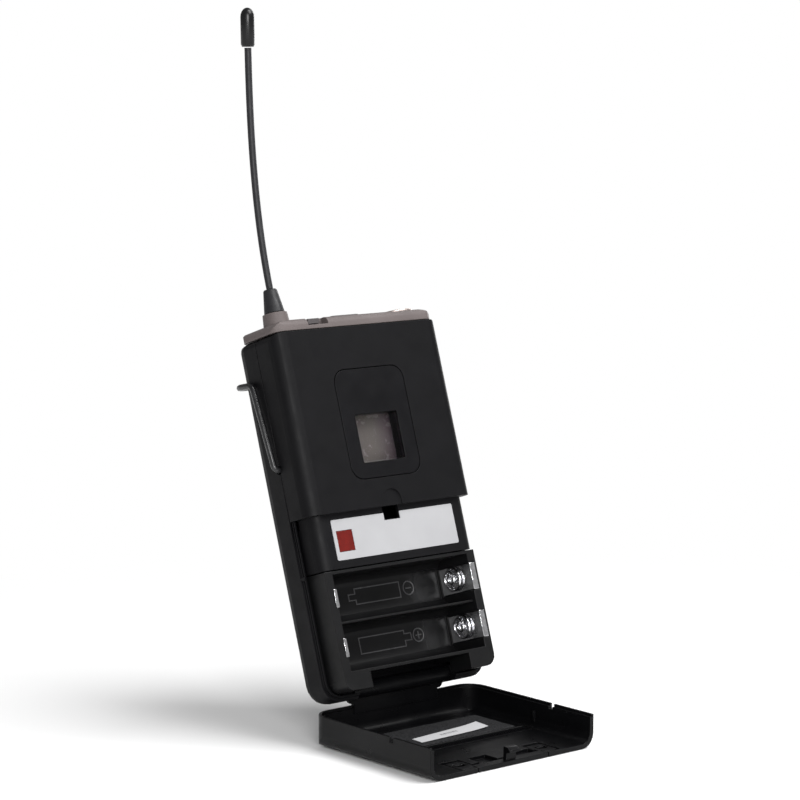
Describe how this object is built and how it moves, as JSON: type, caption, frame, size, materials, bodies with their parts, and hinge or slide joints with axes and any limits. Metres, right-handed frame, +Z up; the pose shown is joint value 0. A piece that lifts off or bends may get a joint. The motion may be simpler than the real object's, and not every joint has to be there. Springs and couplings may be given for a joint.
{
  "type": "wireless bodypack transmitter",
  "caption": "Wireless bodypack transmitter with a whip antenna, wire belt clip, microphone socket and a hinged battery door, shown open and lying flat.",
  "frame": {"origin": "centre of the battery door's flat outer face, which lies on the table", "axes": "+X to the right seen from the front, +Y to the back, +Z up; the housing leans back 17.75 degrees over +Y"},
  "size_m": [0.0708, 0.1019, 0.2248],
  "materials": {
    "housing_black": "matte",
    "tray_black": "satin",
    "door_black": "satin",
    "cap_taupe": "matte",
    "control_grey": "matte",
    "display_clear": "gloss",
    "lcd_grey": "gloss",
    "sync_red": "gloss",
    "label_grey": "satin",
    "label_white": "satin",
    "antenna_rubber": "satin",
    "antenna_tip_gloss": "gloss",
    "jack_metal": "satin",
    "contact_chrome": "polished",
    "steel_plain": "satin",
    "shield_metal": "satin",
    "circuit_board": "satin",
    "clip_wire": "satin",
    "pin_gold": "polished",
    "foam_grey": "matte"
  },
  "bodies": {
    "housing": {"back_shell": "housing_black", "front_shell": "housing_black", "display_panel": "housing_black", "battery_tray": "tray_black", "top_cap": "cap_taupe", "mute_switch": "control_grey", "power_switch_body": "control_grey", "sync_receiver": "control_grey", "mic_jack_insert": "control_grey", "display_lens": "display_clear", "lcd_module": "lcd_grey", "sync_window": "sync_red", "channel_label": "label_grey", "antenna_boot": "antenna_rubber", "antenna_whip": "antenna_rubber", "antenna_tip": "antenna_tip_gloss", "antenna_ferrule": "jack_metal", "mic_jack_shell": "jack_metal", "mic_pin_1": "pin_gold", "mic_pin_2": "pin_gold", "mic_pin_3": "pin_gold", "mic_pin_4": "pin_gold", "contact_spring_lower": "contact_chrome", "contact_spring_upper": "contact_chrome", "contact_flat_lower": "contact_chrome", "contact_flat_upper": "contact_chrome", "contact_coil_lower": "contact_chrome", "contact_coil_upper": "contact_chrome", "hinge_pin": "steel_plain", "screw_1": "steel_plain", "screw_2": "steel_plain", "screw_3": "steel_plain", "screw_4": "steel_plain", "rf_shield": "shield_metal", "main_circuit_board": "circuit_board"},
    "battery_door": {"battery_door": "door_black", "door_foam": "foam_grey", "door_sticker": "label_white"},
    "door_latch": {"door_latch": "door_black"},
    "power_slider": {"power_slider": "control_grey"},
    "mute_button": {"mute_button": "control_grey"},
    "belt_clip": {"belt_clip": "clip_wire"}
  },
  "joints": [
    {"name": "battery_door_hinge", "type": "hinge", "parent": "housing", "child": "battery_door", "pos_m": [0, 0.02565, 0.0155], "axis": [-1, 0, 0], "range_deg": [0, 107.75]},
    {"name": "door_latch_slide", "type": "slide", "parent": "battery_door", "child": "door_latch", "axis": [0, 1, 0], "range_m": [0, 0.0007], "stiffness_N_per_m": 300, "springref_m": -0.0005},
    {"name": "power_switch_slide", "type": "slide", "parent": "housing", "child": "power_slider", "axis": [1, 0, 0], "range_m": [0, 0.0027]},
    {"name": "mute_button_press", "type": "slide", "parent": "housing", "child": "mute_button", "axis": [0, -0.3049, -0.9524], "range_m": [0, 0.0008], "stiffness_N_per_m": 400, "springref_m": -0.0005},
    {"name": "belt_clip_hinge", "type": "hinge", "parent": "housing", "child": "belt_clip", "pos_m": [0, 0.04321, 0.0838], "axis": [1, 0, 0], "range_deg": [0, 2], "stiffness_Nm_per_rad": 0.5, "springref_deg": -2.86}
  ]
}
